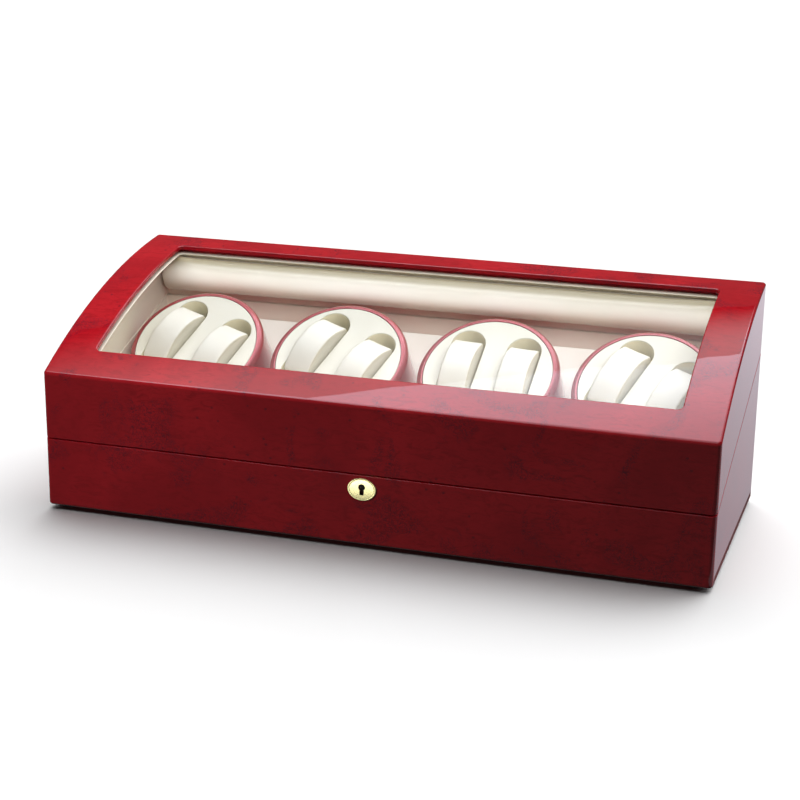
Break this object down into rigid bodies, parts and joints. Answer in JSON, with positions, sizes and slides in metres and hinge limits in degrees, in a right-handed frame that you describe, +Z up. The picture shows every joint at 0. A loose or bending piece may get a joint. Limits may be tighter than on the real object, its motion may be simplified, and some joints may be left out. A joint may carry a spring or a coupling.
{
  "type": "watch winder box",
  "caption": "Lacquered watch winder box with a curved window lid over tilted turntables that hold paired watch cushions and are turned by geared motors.",
  "frame": {"origin": "under the middle of the box, at the level of the feet", "axes": "+X to the right along the length, +Y to the back, +Z up"},
  "size_m": [0.54, 0.223, 0.1872],
  "materials": {
    "lacquer": "high-gloss red lacquer over a burl figure",
    "raw_wood": "sealed fibreboard",
    "cream_liner": "cream leatherette",
    "satin": "cream satin over padding",
    "cushion": "off-white leatherette over padding",
    "table_face": "white leatherette",
    "drum_paint": "metallic red gloss",
    "pane": "clear curved acrylic",
    "brass": "polished",
    "steel": "zinc plated",
    "bronze": "sintered bronze",
    "gear_plastic": "moulded acetal",
    "black_plastic": "fine grain",
    "rubber": "matte",
    "circuit_board": "solder mask"
  },
  "bodies": {
    "case": {"base_shell": "lacquer", "bottom_panel": "raw_wood", "base_liner": "cream_liner", "deck_panel": "cream_liner", "foot_front_left": "rubber", "foot_front_right": "rubber", "foot_rear_left": "rubber", "foot_rear_right": "rubber", "hinge_base_leaf_left": "brass", "hinge_base_leaf_right": "brass", "lock_escutcheon": "brass", "hinge_pin_left": "steel", "hinge_pin_right": "steel", "lock_case": "steel", "motor_rail": "steel", "motor_1": "steel", "motor_2": "steel", "motor_3": "steel", "motor_4": "steel", "rear_panel": "black_plastic", "dc_socket": "black_plastic", "control_board": "circuit_board", "bearing_bush_1": "bronze", "bearing_bush_2": "bronze", "bearing_bush_3": "bronze", "bearing_bush_4": "bronze"},
    "lid": {"lid_shell": "lacquer", "window_pane": "pane", "lid_liner": "cream_liner", "lid_bolster": "satin", "strike_plate": "brass", "hinge_lid_leaf_left": "brass", "hinge_lid_leaf_right": "brass"},
    "lock_tumbler": {"lock_tumbler": "steel"},
    "lock_bolt": {"lock_bolt": "brass"},
    "mode_knob": {"mode_knob": "black_plastic"},
    "turntable_1": {"spindle_gear_1": "gear_plastic", "drum_1": "drum_paint", "insert_1": "table_face"},
    "pinion_1": {"pinion_1": "gear_plastic"},
    "cushion_1_left": {"cushion_1_left": "cushion"},
    "cushion_1_right": {"cushion_1_right": "cushion"},
    "turntable_2": {"spindle_gear_2": "gear_plastic", "drum_2": "drum_paint", "insert_2": "table_face"},
    "pinion_2": {"pinion_2": "gear_plastic"},
    "cushion_2_left": {"cushion_2_left": "cushion"},
    "cushion_2_right": {"cushion_2_right": "cushion"},
    "turntable_3": {"spindle_gear_3": "gear_plastic", "drum_3": "drum_paint", "insert_3": "table_face"},
    "pinion_3": {"pinion_3": "gear_plastic"},
    "cushion_3_left": {"cushion_3_left": "cushion"},
    "cushion_3_right": {"cushion_3_right": "cushion"},
    "turntable_4": {"spindle_gear_4": "gear_plastic", "drum_4": "drum_paint", "insert_4": "table_face"},
    "pinion_4": {"pinion_4": "gear_plastic"},
    "cushion_4_left": {"cushion_4_left": "cushion"},
    "cushion_4_right": {"cushion_4_right": "cushion"}
  },
  "joints": [
    {"name": "lid_hinge", "type": "hinge", "parent": "case", "child": "lid", "pos_m": [0, 0.109, 0.13028], "axis": [-1, 0, 0], "range_deg": [0, 95]},
    {"name": "lock_tumbler_turn", "type": "hinge", "parent": "case", "child": "lock_tumbler", "pos_m": [0, -0.1005, 0.05], "axis": [0, 1, 0], "range_deg": [0, 90]},
    {"name": "lock_bolt_slide", "type": "slide", "parent": "case", "child": "lock_bolt", "axis": [1, 0, 0], "range_m": [0, 0.007]},
    {"name": "mode_knob_turn", "type": "hinge", "parent": "case", "child": "mode_knob", "pos_m": [0.132, 0.0955, 0.0565], "axis": [0, 1, 0], "range_deg": [-60, 60]},
    {"name": "turntable_1_spin", "type": "hinge", "parent": "case", "child": "turntable_1", "pos_m": [-0.192, 0.0115, 0.1155], "axis": [0, -0.6157, 0.788], "continuous": true},
    {"name": "pinion_1_spin", "type": "hinge", "parent": "case", "child": "pinion_1", "pos_m": [-0.1662, 0.0115, 0.1155], "axis": [0, -0.6157, 0.788], "continuous": true},
    {"name": "cushion_1_left_lift", "type": "slide", "parent": "turntable_1", "child": "cushion_1_left", "axis": [0, -0.6157, 0.788], "range_m": [0, 0.025]},
    {"name": "cushion_1_right_lift", "type": "slide", "parent": "turntable_1", "child": "cushion_1_right", "axis": [0, -0.6157, 0.788], "range_m": [0, 0.025]},
    {"name": "turntable_2_spin", "type": "hinge", "parent": "case", "child": "turntable_2", "pos_m": [-0.064, 0.0115, 0.1155], "axis": [0, -0.6157, 0.788], "continuous": true},
    {"name": "pinion_2_spin", "type": "hinge", "parent": "case", "child": "pinion_2", "pos_m": [-0.0382, 0.0115, 0.1155], "axis": [0, -0.6157, 0.788], "continuous": true},
    {"name": "cushion_2_left_lift", "type": "slide", "parent": "turntable_2", "child": "cushion_2_left", "axis": [0, -0.6157, 0.788], "range_m": [0, 0.025]},
    {"name": "cushion_2_right_lift", "type": "slide", "parent": "turntable_2", "child": "cushion_2_right", "axis": [0, -0.6157, 0.788], "range_m": [0, 0.025]},
    {"name": "turntable_3_spin", "type": "hinge", "parent": "case", "child": "turntable_3", "pos_m": [0.064, 0.0115, 0.1155], "axis": [0, -0.6157, 0.788], "continuous": true},
    {"name": "pinion_3_spin", "type": "hinge", "parent": "case", "child": "pinion_3", "pos_m": [0.0898, 0.0115, 0.1155], "axis": [0, -0.6157, 0.788], "continuous": true},
    {"name": "cushion_3_left_lift", "type": "slide", "parent": "turntable_3", "child": "cushion_3_left", "axis": [0, -0.6157, 0.788], "range_m": [0, 0.025]},
    {"name": "cushion_3_right_lift", "type": "slide", "parent": "turntable_3", "child": "cushion_3_right", "axis": [0, -0.6157, 0.788], "range_m": [0, 0.025]},
    {"name": "turntable_4_spin", "type": "hinge", "parent": "case", "child": "turntable_4", "pos_m": [0.192, 0.0115, 0.1155], "axis": [0, -0.6157, 0.788], "continuous": true},
    {"name": "pinion_4_spin", "type": "hinge", "parent": "case", "child": "pinion_4", "pos_m": [0.2178, 0.0115, 0.1155], "axis": [0, -0.6157, 0.788], "continuous": true},
    {"name": "cushion_4_left_lift", "type": "slide", "parent": "turntable_4", "child": "cushion_4_left", "axis": [0, -0.6157, 0.788], "range_m": [0, 0.025]},
    {"name": "cushion_4_right_lift", "type": "slide", "parent": "turntable_4", "child": "cushion_4_right", "axis": [0, -0.6157, 0.788], "range_m": [0, 0.025]}
  ],
  "couplings": [
    {"joint": "lock_tumbler_turn", "follows": "lock_bolt_slide", "rad_per_m": 224.39},
    {"joint": "pinion_1_spin", "follows": "turntable_1_spin", "ratio": -2.4},
    {"joint": "pinion_2_spin", "follows": "turntable_2_spin", "ratio": -2.4},
    {"joint": "pinion_3_spin", "follows": "turntable_3_spin", "ratio": -2.4},
    {"joint": "pinion_4_spin", "follows": "turntable_4_spin", "ratio": -2.4}
  ]
}
